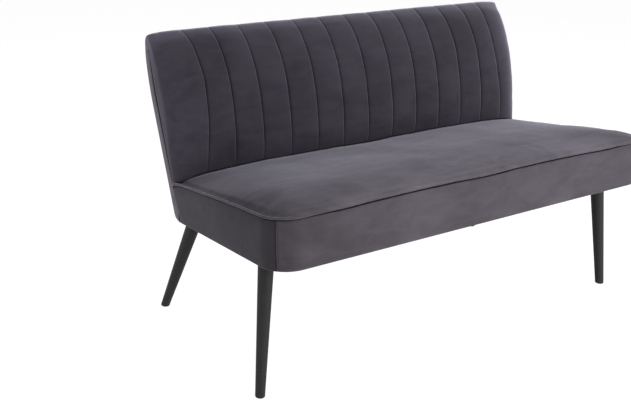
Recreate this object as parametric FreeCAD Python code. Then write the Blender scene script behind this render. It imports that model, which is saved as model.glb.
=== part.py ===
import FreeCAD, Part
import math
import os
from FreeCAD import Vector

# Upholstered dining bench. Millimetres and degrees.
# The seat and back are drawn in the seat's own frame: X to the right, Y from the front lower edge
# to the rear, Z up from the underside. The whole is then tilted and set on its legs.

# Overall sizes
body_width = 1280.0
underside_height = 363.0
seat_tilt = 5.0
seat_depth = 516.5
border_height = 134.0
border_fall = 3.0
corner_radius = 70.0
corner_seam_turn = 52.0
overrun = 40.0
fit_gap = 0.2

# Seat cover, border, piping and foam
border_thickness = 3.0
piping_diameter = 7.0
piping_overhang = 1.5
crown_height = 30.0
crown_reach = 115.0
crown_rear_reach = 26.0
crown_rear_clearance = 44.5
crown_rear_radius = 30.0
crown_steps = 5
crown_corner_share = 0.55
seat_cover_thickness = 5.0

# Back: lean from the seat's normal, straight part, then a gentle bend forward to the top
back_lean = 17.6
back_straight = 315.0
back_bend_radius = 650.0
back_length = 470.0
rear_cover_thickness = 2.0
rear_panel_thickness = 3.0
upright_thickness = 23.0
webbing_thickness = 2.0
rear_corner_radius = 18.0
frame_lift = 6.0

# Back pad: front outline, as shares of its height along the back and of its depth
pad_over_frame = 34.0
pad_depth = 122.0
pad_height_shares = (0.34, 0.51, 0.71, 0.885, 0.955, 0.997, 0.986)
pad_depth_shares = (0.81, 0.95, 0.995, 0.83, 0.65, 0.46, 0.275)
pad_swell_shares = (0.9, 1.0, 1.0, 1.0, 1.0, 0.9, 0.5)
pad_base_depth = 72.0
pad_base_swell_share = 0.3
channel_count = 12
pad_end_width = 87.0
channel_swell = 5.0
pad_end_draw = 55.0
pad_end_place_shares = (0.0, 0.3, 0.56, 0.77, 0.9, 0.97, 1.0)
pad_end_draw_shares = (0.95, 1.0, 1.0, 0.68, 0.42, 0.16, 0.06)
pad_base_draw_share = 0.45
pad_foam_inset = 42.0
pad_quilt = 6.0

# Seat frame
rail_thickness = 25.0
rail_height = 70.0
cross_rail_height = 50.0
cross_rail_place_share = 0.24
front_block_width = 82.0
front_block_depth = 162.0
rear_block_width = 82.0
rear_block_depth = 72.0
dowel_diameter = 10.0
dowel_length = 40.0
dowel_height_shares = (0.3, 0.7)

# Back frame
upright_width = 60.0
inner_upright_place_share = 0.3333
top_rail_height = 60.0
middle_rail_place_share = 0.53
middle_rail_height = 50.0
lag_diameter = 8.0
lag_length = 38.0
lag_head_width = 13.0
lag_head_height = 5.5
washer_diameter = 17.0
washer_thickness = 1.6
lag_places = (16.0, 46.0)
outer_lag_inset = 22.0

# Webbing, staples and dust cover
strap_width = 60.0
seat_strap_count = 9
seat_strap_end_gap = 15.0
back_strap_place_shares = (0.27, 0.425, 0.7)
back_strap_end_inset = 8.0
staple_width = 11.0
staple_wire = 1.2
staple_leg = 10.0
strap_staple_shares = (0.25, 0.75)
dust_cover_thickness = 1.0
dust_cover_inset = 12.0
dust_staple_inset = 6.0
dust_staple_count = 9
dust_staple_end_gap = 75.0

# Legs, given by the middle of the foot and of the top: insets from the end of the body, front legs
# measured back from the front lower edge, rear legs from the rear lower edge
leg_top_diameter = 40.0
leg_foot_diameter = 25.0
leg_foot_round = 3.0
front_foot_inset = 8.0
front_foot_back = 79.0
front_top_inset = 48.0
front_top_back = 124.0
rear_foot_inset = 15.0
rear_foot_behind = 113.5
rear_top_inset = 43.0
rear_top_ahead = 37.5
leg_hole_gap = 3.0
stud_diameter = 10.0
stud_in_leg = 30.0
stud_in_block = 42.0
tee_nut_barrel = 13.0
tee_nut_length = 14.0
tee_nut_flange = 26.0
tee_nut_flange_thickness = 2.0

half_width = body_width / 2
inner_half = half_width - border_thickness
back_thickness = rear_cover_thickness + rear_panel_thickness + upright_thickness + webbing_thickness
crown_depth = seat_depth - crown_rear_clearance
pad_height = back_length + pad_over_frame
middle_rail_place = middle_rail_place_share * back_length
front_rail_half = inner_half - front_block_width
rear_rail_half = inner_half - rear_block_width
seat_strap_span = 2 * (rear_rail_half - seat_strap_end_gap) - strap_width
dust_staple_span = 2 * (front_rail_half - dust_staple_end_gap)
piping_radius = piping_diameter / 2
piping_inset = piping_radius - piping_overhang
crown_inset = piping_inset + piping_radius + fit_gap
pad_lift = piping_radius + fit_gap
channel_pitch = (body_width - pad_end_width - pad_end_width) / channel_count
lean_sin = math.sin(math.radians(back_lean))
lean_cos = math.cos(math.radians(back_lean))
fall_slope = math.tan(math.radians(border_fall))
fall_cos = math.cos(math.radians(border_fall))
upright_rear = rear_cover_thickness + rear_panel_thickness
upright_front = upright_rear + upright_thickness
back_half = half_width - rear_cover_thickness - fit_gap
rear_block_start = seat_depth - upright_front / lean_cos - rear_block_depth
x_axis = Vector(1, 0, 0)
y_axis = Vector(0, 1, 0)
z_axis = Vector(0, 0, 1)


def piping_height(y):
    return border_height - y * fall_slope


def back_front(z, depth):
    # Depth in Y of the plane that lies this far in front of the straight rear face
    return seat_depth - depth / lean_cos + z * lean_sin / lean_cos


def plane_point(along, depth):
    # Point in the side view: along the straight rear face from its foot, and forward of it
    y = seat_depth + along * lean_sin - depth * lean_cos
    z = along * lean_cos + depth * lean_sin
    return Vector(0, y, z)


def back_direction(along):
    turn = max(0.0, along - back_straight) / back_bend_radius
    lean = math.radians(back_lean) - turn
    return Vector(0, math.sin(lean), math.cos(lean))


def back_point(along, depth):
    # The same, but following the bend of the rear face
    if along <= back_straight:
        return plane_point(along, depth)
    centre = plane_point(back_straight, back_bend_radius)
    up = back_direction(along)
    forward = Vector(0, -up.z, up.y)
    return centre - forward * (back_bend_radius - depth)


def level_point(depth, lift):
    # Point this far in front of the rear face and this far above the piping's plane
    start = back_front(0, depth)
    z = (border_height + lift / fall_cos - fall_slope * start) / (1 + fall_slope * lean_sin / lean_cos)
    return Vector(0, back_front(z, depth), z)


def line(start, end):
    return Part.LineSegment(start, end).toShape()


def arc(start, middle, end):
    return Part.Arc(start, middle, end).toShape()


def back_edges(low, high, depth):
    # Edges that run up the back at one depth
    edges = []
    if low < back_straight:
        edges.append(line(back_point(low, depth), back_point(min(high, back_straight), depth)))
    if high > back_straight:
        start = max(low, back_straight)
        middle = (start + high) / 2
        edges.append(arc(back_point(start, depth), back_point(middle, depth), back_point(high, depth)))
    return edges


def extrude_across(edges, left, right):
    wire = Part.Wire(Part.__sortEdges__(edges))
    face = Part.Face(wire)
    face.translate(Vector(left, 0, 0))
    return face.extrude(Vector(right - left, 0, 0))


def back_slab(low, high, rear, front, left, right):
    # Slab of the back between two depths, from low to high along the rear face
    edges = back_edges(low, high, rear) + back_edges(low, high, front)
    edges.append(line(back_point(low, rear), back_point(low, front)))
    edges.append(line(back_point(high, rear), back_point(high, front)))
    return extrude_across(edges, left, right)


def side_prism(points, left, right):
    corners = [Vector(0, y, z) for y, z in points]
    edges = [line(a, b) for a, b in zip(corners, corners[1:] + corners[:1])]
    return extrude_across(edges, left, right)


def box(left, right, front, rear, low, high):
    return Part.makeBox(right - left, rear - front, high - low, Vector(left, front, low))


def corner_arc(corner, inward, radius):
    # Quarter round in a plan corner, from its end along X to its end along Y
    centre = corner + inward * radius
    middle = centre - inward * (radius * math.sqrt(0.5))
    return Vector(centre.x, corner.y, corner.z), middle, Vector(corner.x, centre.y, corner.z)


def rounded_plan(inset, rear, front_radius, rear_radius, height):
    # Closed plan outline with round corners, centred on X
    x = half_width - inset
    right_front = corner_arc(Vector(x, inset, height), Vector(-1, 1, 0), front_radius)
    right_rear = corner_arc(Vector(x, rear, height), Vector(-1, -1, 0), rear_radius)[::-1]
    left_rear = corner_arc(Vector(-x, rear, height), Vector(1, -1, 0), rear_radius)
    left_front = corner_arc(Vector(-x, inset, height), Vector(1, 1, 0), front_radius)[::-1]
    arcs = (right_front, right_rear, left_rear, left_front)
    edges = []
    for current, following in zip(arcs, arcs[1:] + arcs[:1]):
        edges.append(arc(*current))
        edges.append(line(current[-1], following[0]))
    return Part.Wire(edges)


def front_rounded_prism(inset, low, high):
    # Upright prism with the bench's rounded front corners, open-ended past the back
    rear = seat_depth + border_height
    wire = rounded_plan(inset, rear, corner_radius - inset, corner_radius - inset, low)
    return Part.Face(wire).extrude(Vector(0, 0, high - low))


def seat_space(low, drop, rear_depth):
    # Side view of the seat box between a low level and the piping's plane less a drop
    top_rear = level_point(rear_depth, -drop)
    top_front = piping_height(-overrun) - drop / fall_cos
    points = ((-overrun, low), (back_front(low, rear_depth), low), (top_rear.y, top_rear.z),
              (-overrun, top_front))
    return side_prism(points, -body_width, body_width)


def to_piping_plane(shape):
    placed = shape.copy()
    placed.rotate(Vector(0, 0, 0), x_axis, -border_fall)
    placed.translate(Vector(0, 0, border_height))
    return placed


def to_world(shape):
    placed = shape.copy()
    placed.rotate(Vector(0, 0, 0), x_axis, -seat_tilt)
    placed.translate(Vector(0, 0, underside_height))
    return placed


def to_seat(shape):
    placed = shape.copy()
    placed.translate(Vector(0, 0, -underside_height))
    placed.rotate(Vector(0, 0, 0), x_axis, seat_tilt)
    return placed


def crown(shrink):
    # Crowned top of the seat, lofted through plan outlines that step in as they rise
    sections = []
    base = -piping_radius
    rise = crown_height + piping_radius - shrink
    for step in range(crown_steps + 1):
        angle = math.radians(90.0 * step / crown_steps)
        step_in = 1 - math.cos(angle)
        inset = crown_inset + shrink + crown_reach * step_in
        rear = crown_depth - shrink - crown_rear_reach * step_in
        front_radius = corner_radius * (1 - crown_corner_share * step_in)
        height = base + rise * math.sin(angle)
        sections.append(rounded_plan(inset, rear, front_radius, crown_rear_radius, height))
    return to_piping_plane(Part.makeLoft(sections, True, False))


def seat_cushion():
    inner = crown(seat_cover_thickness)
    cover = crown(0).cut(inner)
    low = rail_height + webbing_thickness
    block = front_rounded_prism(border_thickness, low, border_height)
    block = block.common(seat_space(low, piping_radius, back_thickness))
    return cover, block.fuse(inner).removeSplitter()


def border_panels():
    ring = front_rounded_prism(0, 0, border_height)
    ring = ring.cut(front_rounded_prism(border_thickness, -overrun, border_height + overrun))
    ring = ring.common(seat_space(0, piping_radius, back_thickness))
    centre = half_width - corner_radius
    turn = math.radians(corner_seam_turn)
    side_reach = body_width * math.sin(turn)
    front_reach = body_width * math.cos(turn)
    plan = [Vector(-centre, corner_radius, 0), Vector(-centre - side_reach, corner_radius - front_reach, 0),
            Vector(centre + side_reach, corner_radius - front_reach, 0), Vector(centre, corner_radius, 0)]
    sector = Part.Face(Part.makePolygon(plan + plan[:1])).extrude(Vector(0, 0, border_height))
    front = ring.common(sector)
    sides = ring.cut(sector)
    left = sides.common(box(-body_width, 0, -overrun, body_width, -overrun, body_width))
    right = sides.common(box(0, body_width, -overrun, body_width, -overrun, body_width))
    return front, left, right


def piping():
    # Tube along the top edge of the border: side, corner, front, corner, side
    x = half_width - piping_inset
    radius = corner_radius - piping_inset
    centre_x = half_width - corner_radius
    rear = back_front(piping_height(seat_depth), back_thickness) - piping_diameter
    diagonal = radius * math.sqrt(0.5)
    edges = [line(Vector(-x, rear, 0), Vector(-x, corner_radius, 0)),
             arc(Vector(-x, corner_radius, 0),
                 Vector(-centre_x - diagonal, corner_radius - diagonal, 0),
                 Vector(-centre_x, piping_inset, 0)),
             line(Vector(-centre_x, piping_inset, 0), Vector(centre_x, piping_inset, 0)),
             arc(Vector(centre_x, piping_inset, 0),
                 Vector(centre_x + diagonal, corner_radius - diagonal, 0),
                 Vector(x, corner_radius, 0)),
             line(Vector(x, corner_radius, 0), Vector(x, rear, 0))]
    ring = Part.Wire(Part.makeCircle(piping_radius, Vector(-x, rear, 0), Vector(0, 1, 0)))
    return to_piping_plane(Part.Wire(edges).makePipeShell([ring], True, False))


def pad_points(swell, draw):
    # Front outline of the back pad, pushed out along its normals by the channel's swell, and drawn in
    base_out = swell * pad_base_swell_share - draw * pad_base_draw_share
    base = level_point(pad_base_depth + base_out, pad_lift)
    points = [base]
    points += [plane_point(high * pad_height, deep * pad_depth)
               for high, deep in zip(pad_height_shares, pad_depth_shares)]
    points.append(back_point(back_length, 0))
    outs = [swell * out - draw * back for out, back in zip(pad_swell_shares, pad_end_draw_shares)]
    moved = [base]
    for before, point, after, out in zip(points, points[1:], points[2:], outs):
        along = after - before
        normal = Vector(0, -along.z, along.y)
        normal.normalize()
        moved.append(point + normal * out)
    moved.append(points[-1])
    return moved


def pad_section(place, swell, draw):
    # Closed side view of the back pad at one place across the bench
    points = pad_points(swell, draw)
    edges = []
    for start, middle, end in zip(points[::2], points[1::2], points[2::2]):
        edges.append(arc(start, middle, end))
    top_front = back_point(back_length, back_thickness)
    base_rear = level_point(back_thickness, pad_lift)
    foot = (base_rear.z - back_thickness * lean_sin) / lean_cos
    edges.append(line(points[-1], top_front))
    edges.extend(reversed(back_edges(foot, back_length, back_thickness)))
    edges.append(line(base_rear, points[0]))
    wire = Part.Wire(Part.__sortEdges__(edges))
    wire.translate(Vector(place, 0, 0))
    return wire


def pad_loft(sections):
    return Part.makeLoft([pad_section(*section) for section in sections], True, False)


def back_pad():
    first = -half_width + pad_end_width
    pieces = []
    for index in range(channel_count):
        left = first + index * channel_pitch
        right = left + channel_pitch
        pieces.append(pad_loft(((left, 0, 0), ((left + right) / 2, channel_swell, 0), (right, 0, 0))))
    for side in (-1, 1):
        sections = []
        for share in pad_end_place_shares:
            place = side * (half_width - pad_end_width * (1 - share))
            swell = channel_swell * math.sin(math.pi * share)
            draw = pad_end_draw * (1 - math.sqrt(1 - share * share))
            sections.append((place, swell, draw))
        pieces.append(pad_loft(sections))
    whole = pieces[0].multiFuse(pieces[1:])
    foam_end = half_width - pad_foam_inset
    foam = Part.Face(pad_section(-foam_end, -pad_quilt, 0)).extrude(Vector(foam_end + foam_end, 0, 0))
    return whole.cut(foam), foam


def frame_space():
    # Room for the seat frame, which ends flush with the front of the uprights
    points = ((0, 0), (back_front(0, upright_front), 0),
              (back_front(rail_height, upright_front), rail_height), (0, rail_height))
    return side_prism(points, -inner_half, inner_half)


def leg_ends(side, front):
    # Middle of the foot on the floor and of the top on the underside, with the bench standing
    if front:
        foot_inset, foot_back, top_inset, top_back = (front_foot_inset, front_foot_back,
                                                      front_top_inset, front_top_back)
    else:
        foot_inset, foot_back, top_inset, top_back = (rear_foot_inset, seat_depth + rear_foot_behind,
                                                      rear_top_inset, seat_depth - rear_top_ahead)
    top_height = underside_height - top_back * math.tan(math.radians(seat_tilt))
    foot = Vector(side * (half_width - foot_inset), foot_back, 0)
    top = Vector(side * (half_width - top_inset), top_back, top_height)
    return foot, top


def rod(start, direction, low, high, radius):
    # Round rod along a line, between two distances from its start
    return Part.makeCylinder(radius, high - low, start + direction * low, direction)


def leg_pieces(side, front):
    # Leg, stud, tee nut, the hollow they need in the leg block, and the hole in the dust cover
    foot, top = leg_ends(side, front)
    axis = top - foot
    length = axis.Length
    axis.normalize()
    foot_radius = leg_foot_diameter / 2
    top_radius = leg_top_diameter / 2
    spread = (top_radius - foot_radius) / length * overrun
    cone = Part.makeCone(foot_radius - spread, top_radius + spread, length + overrun + overrun,
                         foot - axis * overrun, axis)
    standing = box(-body_width, body_width, -body_width, body_width, 0, body_width)
    under = to_world(box(-body_width, body_width, -body_width, body_width, -body_width, 0))
    leg = cone.common(standing).common(under)
    rim = [edge for edge in leg.Edges if abs(edge.BoundBox.ZMax) < fit_gap]
    leg = leg.makeFillet(leg_foot_round, rim)
    stud_radius = stud_diameter / 2
    hole_radius = stud_radius + fit_gap
    leg = leg.cut(rod(top, axis, -stud_in_leg - fit_gap, overrun, hole_radius))
    stud = rod(top, axis, -stud_in_leg, stud_in_block, stud_radius)
    seat = stud_in_block - tee_nut_flange_thickness
    barrel = rod(top, axis, seat - tee_nut_length, seat, tee_nut_barrel / 2)
    flange = rod(top, axis, seat, stud_in_block, tee_nut_flange / 2)
    nut = barrel.fuse(flange).cut(rod(top, axis, 0, length, hole_radius)).removeSplitter()
    hollow = rod(top, axis, -overrun, length, hole_radius)
    low = seat - tee_nut_length - fit_gap
    hollow = hollow.fuse(rod(top, axis, low, length, tee_nut_barrel / 2 + fit_gap))
    hollow = hollow.fuse(rod(top, axis, seat, length, tee_nut_flange / 2 + fit_gap))
    clearance = rod(top, axis, -overrun, overrun, top_radius + leg_hole_gap)
    return [to_seat(shape) for shape in (leg, stud, nut, hollow, clearance)]


def dowel_at(centre, direction, growth):
    reach = dowel_length / 2 + growth
    return rod(centre, direction, -reach, reach, dowel_diameter / 2 + growth)


def seat_dowel_lines():
    # Middle and direction of each dowel of the seat frame
    lines = []
    for side in (-1, 1):
        for share in dowel_height_shares:
            height = share * rail_height
            low = share * cross_rail_height
            rail_middle = rail_thickness / 2
            block_face = side * front_rail_half
            rear_face = side * rear_rail_half
            side_middle = side * (inner_half - rail_middle)
            cross = side * cross_rail_place_share * half_width
            lines.append((Vector(block_face, border_thickness + rail_middle, height), x_axis))
            rear_middle = back_front(height, upright_front + rail_middle)
            lines.append((Vector(rear_face, rear_middle, height), x_axis))
            lines.append((Vector(side_middle, border_thickness + front_block_depth, height), y_axis))
            lines.append((Vector(side_middle, rear_block_start, height), y_axis))
            lines.append((Vector(cross, border_thickness + rail_thickness, low), y_axis))
            lines.append((Vector(cross, back_front(low, upright_front + rail_thickness), low), y_axis))
    return lines


def seat_frame():
    space = frame_space()
    front_rear = border_thickness + front_block_depth
    rail_rear = border_thickness + rail_thickness
    shell = front_rounded_prism(border_thickness, 0, rail_height)
    pieces = {}
    pieces["front_rail"] = box(-front_rail_half, front_rail_half, border_thickness, rail_rear, 0, rail_height)
    rear_front = upright_front + rail_thickness
    points = ((back_front(0, rear_front), 0), (back_front(0, upright_front), 0),
              (back_front(rail_height, upright_front), rail_height),
              (back_front(rail_height, rear_front), rail_height))
    pieces["rear_rail"] = side_prism(points, -rear_rail_half, rear_rail_half)
    for side, name in ((-1, "left"), (1, "right")):
        outer = side * inner_half
        low, high = sorted((outer, outer - side * rail_thickness))
        pieces[name + "_side_rail"] = box(low, high, front_rear, rear_block_start, 0, rail_height)
        low, high = sorted((outer, side * front_rail_half))
        block = box(low, high, 0, front_rear, 0, rail_height)
        pieces["front_" + name + "_leg_block"] = shell.common(block)
        low, high = sorted((outer, side * rear_rail_half))
        block = box(low, high, rear_block_start, body_width, 0, rail_height)
        pieces["rear_" + name + "_leg_block"] = space.common(block)
    rails = []
    high = cross_rail_height
    points = ((rail_rear, 0), (back_front(0, rear_front), 0), (back_front(high, rear_front), high),
              (rail_rear, high))
    for side in (-1, 1):
        middle = side * cross_rail_place_share * half_width
        rails.append(side_prism(points, middle - rail_thickness / 2, middle + rail_thickness / 2))
    pieces["cross_rails"] = Part.makeCompound(rails)
    return pieces


def staple_at(centre, across, inward):
    # Wire staple: a crown that lies flush at its centre, and two legs that go inward
    length = Vector(across)
    length.normalize()
    depth = Vector(inward)
    depth.normalize()
    width = length.cross(depth)
    half = staple_width / 2
    wire = staple_wire

    def bar(start, end, low, high):
        corner = centre + length * start + depth * low - width * (wire / 2)
        base = [corner, corner + length * (end - start), corner + length * (end - start) + width * wire,
                corner + width * wire]
        return Part.Face(Part.makePolygon(base + base[:1])).extrude(depth * (high - low))

    crown_bar = bar(-half, half, 0, wire)
    legs = [bar(-half, wire - half, wire, staple_leg), bar(half - wire, half, wire, staple_leg)]
    return crown_bar.multiFuse(legs).removeSplitter()


def spread(count, span):
    return [span * (index / (count - 1) - 0.5) for index in range(count)]


def seat_webbing():
    low = rail_height
    high = rail_height + webbing_thickness
    rear = back_front(rail_height, upright_front) - fit_gap
    straps = []
    staples = []
    for middle in spread(seat_strap_count, seat_strap_span):
        half = strap_width / 2
        straps.append(box(middle - half, middle + half, border_thickness + fit_gap, rear, low, high))
        for place in (border_thickness + rail_thickness / 2, rear - rail_thickness / 2):
            for offset in (-strap_width / 4, strap_width / 4):
                staples.append(staple_at(Vector(middle + offset, place, high), x_axis, -z_axis))
    return straps, staples


def dust_cover():
    front = dust_cover_inset
    rear = back_front(0, back_thickness) - dust_cover_inset
    sheet = front_rounded_prism(dust_cover_inset, -dust_cover_thickness, 0)
    sheet = sheet.common(box(-half_width, half_width, 0, rear, -dust_cover_thickness, 0))
    staples = []
    for place in (front + dust_staple_inset, rear - dust_staple_inset):
        for middle in spread(dust_staple_count, dust_staple_span):
            staples.append(staple_at(Vector(middle, place, -dust_cover_thickness), x_axis, z_axis))
    return sheet, staples


def upright_middles():
    outer = back_half - upright_width / 2
    inner = inner_upright_place_share * half_width
    return {"outer_left": -outer, "inner_left": -inner, "inner_right": inner, "outer_right": outer}


def back_frame():
    # Uprights, top rail, middle rails and the lines of their dowels
    above = box(-body_width, body_width, -body_width, body_width, frame_lift, body_width)
    top = back_length - fit_gap
    rail_low = top - top_rail_height
    middle_depth = (upright_rear + upright_front) / 2
    half = upright_width / 2
    pieces = {}
    lines = []
    middles = upright_middles()
    for name, middle in middles.items():
        slab = back_slab(-overrun, rail_low, upright_rear, upright_front, middle - half, middle + half)
        pieces["back_upright_" + name] = slab.common(above)
        for offset in (-half / 2, half / 2):
            centre = back_point(rail_low, middle_depth) + Vector(middle + offset, 0, 0)
            lines.append((centre, back_direction(rail_low)))
    pieces["back_top_rail"] = back_slab(rail_low, top, upright_rear, upright_front, -back_half, back_half)
    rails = []
    places = list(middles.values())
    for left, right in zip(places, places[1:]):
        ends = (left + half, right - half)
        high = middle_rail_place + middle_rail_height
        rails.append(back_slab(middle_rail_place, high, upright_rear, upright_front, ends[0], ends[1]))
        for end in ends:
            centre = back_point((middle_rail_place + high) / 2, middle_depth)
            lines.append((centre + Vector(end, 0, 0), x_axis))
    pieces["back_middle_rails"] = Part.makeCompound(rails)
    return pieces, lines


def lag_screws():
    # Lag screws and washers through the feet of the uprights, with the hollows that they need
    forward = Vector(0, -lean_cos, lean_sin)
    inset = half_width - outer_lag_inset
    inner = upright_middles()["inner_right"]
    screws = []
    washers = []
    hollows = []
    head_radius = lag_head_width / 2 / math.cos(math.radians(30.0))
    for middle in (-inset, -inner, inner, inset):
        for place in lag_places:
            start = plane_point(place, upright_rear + fit_gap) + Vector(middle, 0, 0)
            seat = lag_head_height + washer_thickness
            corners = [start + x_axis * (head_radius * math.cos(turn)) + forward.cross(x_axis)
                       * (head_radius * math.sin(turn))
                       for turn in [math.radians(60.0 * step) for step in range(6)]]
            head = Part.Face(Part.makePolygon(corners + corners[:1])).extrude(forward * lag_head_height)
            shank = rod(start, forward, lag_head_height, lag_head_height + lag_length, lag_diameter / 2)
            screws.append(head.fuse(shank).removeSplitter())
            washer = rod(start, forward, lag_head_height, seat, washer_diameter / 2)
            hole = rod(start, forward, 0, seat + lag_length, lag_diameter / 2 + fit_gap)
            washers.append(washer.cut(hole))
            pocket = rod(start, forward, -overrun, seat, washer_diameter / 2 + fit_gap)
            hollows.append(pocket.fuse(hole))
    return screws, washers, hollows


def back_webbing():
    half = back_half - back_strap_end_inset
    staple_place = back_half - upright_width / 2
    straps = []
    staples = []
    for share in back_strap_place_shares:
        low = share * back_length
        straps.append(back_slab(low, low + strap_width, upright_front, back_thickness, -half, half))
        for side in (-1, 1):
            for end_share in strap_staple_shares:
                along = low + end_share * strap_width
                up = back_direction(along)
                centre = back_point(along, back_thickness) + Vector(side * staple_place, 0, 0)
                staples.append(staple_at(centre, up, Vector(0, up.z, -up.y)))
    return straps, staples


def rounded_foot(slab, low, rear, radius):
    # Round the rear lower edge of a slab of the back
    edge_place = back_front(low, rear)
    edges = []
    for edge in slab.Edges:
        middle = edge.CenterOfMass
        if abs(middle.z - low) < fit_gap and abs(middle.y - edge_place) < fit_gap:
            edges.append(edge)
    return slab.makeFillet(radius, edges)


def rear_pieces():
    top = back_length - fit_gap
    wall = rear_cover_thickness
    inner = half_width - wall
    standing = box(-body_width, body_width, -body_width, body_width, 0, body_width)
    outside = back_slab(-overrun, top, 0, back_thickness, -half_width, half_width).common(standing)
    outside = rounded_foot(outside, 0, 0, rear_corner_radius)
    raised = box(-body_width, body_width, -body_width, body_width, wall, body_width)
    deep = back_thickness + overrun
    inside = back_slab(-overrun, top + overrun, wall, deep, -inner, inner).common(raised)
    inside = rounded_foot(inside, wall, wall, rear_corner_radius - wall)
    cover = outside.cut(inside).cut(frame_space())
    above = box(-body_width, body_width, -body_width, body_width, rear_corner_radius, body_width)
    panel = back_slab(-overrun, top, wall, upright_rear, -back_half, back_half).common(above)
    return cover, panel


def drill(pieces, names, tools):
    for name in names:
        pieces[name] = pieces[name].cut(tools)


def build():
    nodes = {}
    nodes["seat_cover"], nodes["seat_foam"] = seat_cushion()
    nodes["front_border"], nodes["left_border"], nodes["right_border"] = border_panels()
    nodes["seat_piping"] = piping()
    nodes["back_cover"], nodes["back_foam"] = back_pad()
    nodes["rear_cover"], nodes["rear_panel"] = rear_pieces()

    frame = seat_frame()
    lines = seat_dowel_lines()
    drill(frame, frame, [dowel_at(centre, way, fit_gap) for centre, way in lines])
    nodes["seat_dowels"] = Part.makeCompound([dowel_at(centre, way, 0) for centre, way in lines])

    uprights, lines = back_frame()
    drill(uprights, uprights, [dowel_at(centre, way, fit_gap) for centre, way in lines])
    nodes["back_dowels"] = Part.makeCompound([dowel_at(centre, way, 0) for centre, way in lines])

    screws, washers, hollows = lag_screws()
    nodes["back_lag_screws"] = Part.makeCompound(screws)
    nodes["back_washers"] = Part.makeCompound(washers)
    drill(uprights, [name for name in uprights if "upright" in name], hollows)
    drill(frame, ("rear_rail", "rear_left_leg_block", "rear_right_leg_block"), hollows)

    sheet, staples = dust_cover()
    drill(frame, ("front_rail", "rear_rail"), staples)
    nodes["dust_cover_staples"] = Part.makeCompound(staples)
    sheet = sheet.cut(staples)
    studs = []
    nuts = []
    for side, side_name in ((-1, "left"), (1, "right")):
        for front, front_name in ((True, "front"), (False, "rear")):
            name = front_name + "_" + side_name + "_leg"
            nodes[name], stud, nut, hollow, clearance = leg_pieces(side, front)
            drill(frame, (name + "_block",), [hollow])
            sheet = sheet.cut(clearance)
            studs.append(stud)
            nuts.append(nut)
    nodes["leg_studs"] = Part.makeCompound(studs)
    nodes["leg_tee_nuts"] = Part.makeCompound(nuts)
    nodes["dust_cover"] = sheet

    straps, staples = seat_webbing()
    drill(frame, ("front_rail", "rear_rail"), staples)
    nodes["seat_webbing"] = Part.makeCompound(straps).cut(staples)
    nodes["seat_webbing_staples"] = Part.makeCompound(staples)

    straps, staples = back_webbing()
    drill(uprights, ("back_upright_outer_left", "back_upright_outer_right"), staples)
    nodes["back_webbing"] = Part.makeCompound(straps).cut(staples)
    nodes["back_webbing_staples"] = Part.makeCompound(staples)

    nodes.update(frame)
    nodes.update(uprights)
    return nodes


def export():
    # The origin is on the floor, under the middle of the bench
    os.makedirs("parts", exist_ok=True)
    shapes = {name: to_world(shape) for name, shape in build().items()}
    rear_most = max(shape.optimalBoundingBox().YMax for shape in shapes.values())
    front_most = min(shape.optimalBoundingBox().YMin for shape in shapes.values())
    for name, shape in shapes.items():
        shape.translate(Vector(0, -(front_most + rear_most) / 2, 0))
        solids = shape.Solids
        result = solids[0] if len(solids) == 1 else Part.makeCompound(solids)
        print(name, len(solids), "solids, valid:", result.isValid(), "volume:", round(result.Volume))
        result.exportStep("parts/" + name + ".step")
    print("front to rear:", round(front_most, 1), round(rear_most, 1))


export()
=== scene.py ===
import math
import bmesh
import bpy
import numpy as np
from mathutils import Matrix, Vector, noise


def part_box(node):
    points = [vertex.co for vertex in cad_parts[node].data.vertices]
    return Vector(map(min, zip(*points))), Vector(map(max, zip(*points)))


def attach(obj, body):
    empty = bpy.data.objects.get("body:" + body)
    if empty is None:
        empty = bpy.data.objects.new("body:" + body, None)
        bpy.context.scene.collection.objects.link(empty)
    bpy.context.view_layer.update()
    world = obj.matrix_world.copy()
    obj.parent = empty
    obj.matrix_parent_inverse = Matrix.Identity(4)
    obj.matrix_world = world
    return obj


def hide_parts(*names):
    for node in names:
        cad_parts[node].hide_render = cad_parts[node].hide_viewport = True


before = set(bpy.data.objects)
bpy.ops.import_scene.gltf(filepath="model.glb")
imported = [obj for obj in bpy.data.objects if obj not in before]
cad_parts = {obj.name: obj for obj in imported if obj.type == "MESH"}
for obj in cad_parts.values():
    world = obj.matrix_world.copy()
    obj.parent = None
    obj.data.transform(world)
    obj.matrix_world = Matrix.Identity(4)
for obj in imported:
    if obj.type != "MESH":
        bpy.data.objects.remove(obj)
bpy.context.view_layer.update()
print("frame loaded:", len(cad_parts), "nodes")

# Sizes shared by the pieces, metres and degrees. The seat's own frame has X to the right,
# Y from the front lower edge rearwards and Z up from the underside.
bench = {"halfWidth": 0.640, "underside": 0.363, "tilt": 5.0, "middleY": 0.3406, "seatDepth": 0.5165,
         "borderHeight": 0.134, "borderFall": 3.0, "cornerRadius": 0.070, "backLean": 17.6,
         "backStraight": 0.315, "bendRadius": 0.650, "backLength": 0.470, "backThickness": 0.030,
         "curveSteps": 60}
halfWidth, cornerRadius, borderHeight = bench["halfWidth"], bench["cornerRadius"], bench["borderHeight"]
straight = halfWidth - cornerRadius  # half of the front edge between its corners


def sinCos(degrees):
    return math.sin(math.radians(degrees)), math.cos(math.radians(degrees))


leanSin, leanCos = sinCos(bench["backLean"])
fallSin, fallCos = sinCos(bench["borderFall"])
tiltSin, tiltCos = sinCos(bench["tilt"])


def toFrame(points):  # from the seat's frame to the frame of the CAD model
    points = np.asarray(points, float)
    y = points[..., 1] * tiltCos + points[..., 2] * tiltSin - bench["middleY"]
    z = bench["underside"] - points[..., 1] * tiltSin + points[..., 2] * tiltCos
    return np.stack([points[..., 0], y, z], -1)


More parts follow.
